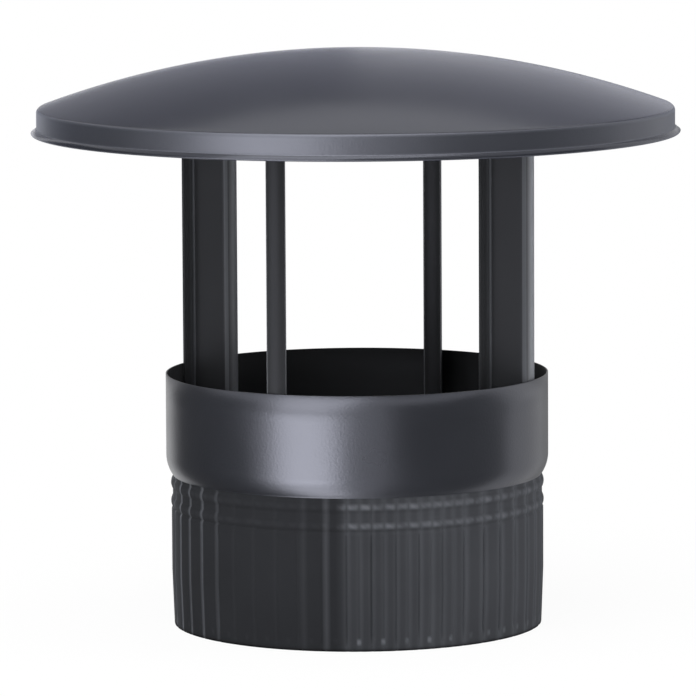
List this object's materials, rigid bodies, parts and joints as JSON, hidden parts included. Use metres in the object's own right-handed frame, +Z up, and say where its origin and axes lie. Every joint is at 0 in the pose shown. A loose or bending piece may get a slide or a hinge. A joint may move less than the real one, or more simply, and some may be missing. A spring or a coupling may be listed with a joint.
{
  "type": "chimney rain cap",
  "caption": "Domed sheet-steel rain cap on folded legs, welded inside a beaded and crimped tube that pushes into a 150 mm flue pipe.",
  "frame": {"origin": "centre of the tube's bottom edge, where the cap meets the flue pipe", "axes": "+Z up along the flue, -Y is the front, and the legs stand on the diagonals"},
  "size_m": [0.257, 0.257, 0.2284],
  "materials": {
    "cap_paint": "satin anthracite heat-proof paint",
    "tube_paint": "satin anthracite heat-proof paint",
    "leg_paint": "semi-gloss black heat-proof paint"
  },
  "bodies": {
    "root": {"cap": "cap_paint", "flue_tube": "tube_paint", "leg_front_right": "leg_paint", "leg_back_right": "leg_paint", "leg_back_left": "leg_paint", "leg_front_left": "leg_paint"}
  },
  "joints": []
}
